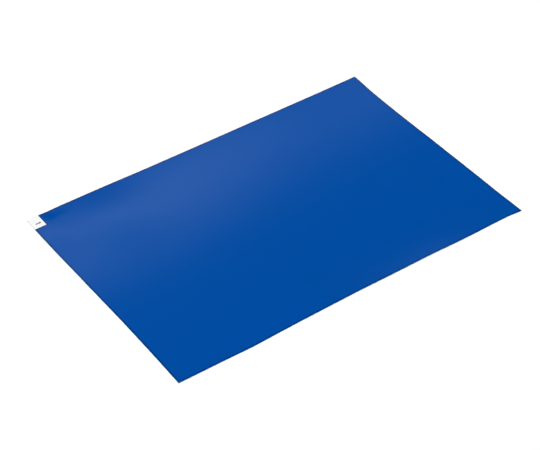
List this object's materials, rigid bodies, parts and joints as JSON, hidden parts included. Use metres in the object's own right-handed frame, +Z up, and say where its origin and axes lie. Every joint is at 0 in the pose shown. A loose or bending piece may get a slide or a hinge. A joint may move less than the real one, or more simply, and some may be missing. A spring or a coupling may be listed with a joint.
{
  "type": "cleanroom sticky mat",
  "caption": "Cleanroom entrance mat: a flat pad of blue adhesive peel-off films on a base film, with a stack of white numbered tabs at one corner and a release liner underneath.",
  "frame": {"origin": "middle of the underside, on the floor", "axes": "+X along the long side, +Y along the short side, +Z up from the floor; the tabs are at the corner of lowest X and highest Y"},
  "size_m": [0.9, 0.6, 0.0032],
  "materials": {
    "blue_film": "smooth tacky polyethylene film",
    "white_tab": "satin white label film",
    "base_film": "translucent satin film",
    "release_liner": "siliconised paper"
  },
  "bodies": {
    "root": {"top_film": "blue_film", "film_stack": "blue_film", "top_tab": "white_tab", "tab_stack": "white_tab", "base_film": "base_film", "release_liner": "release_liner"}
  },
  "joints": []
}
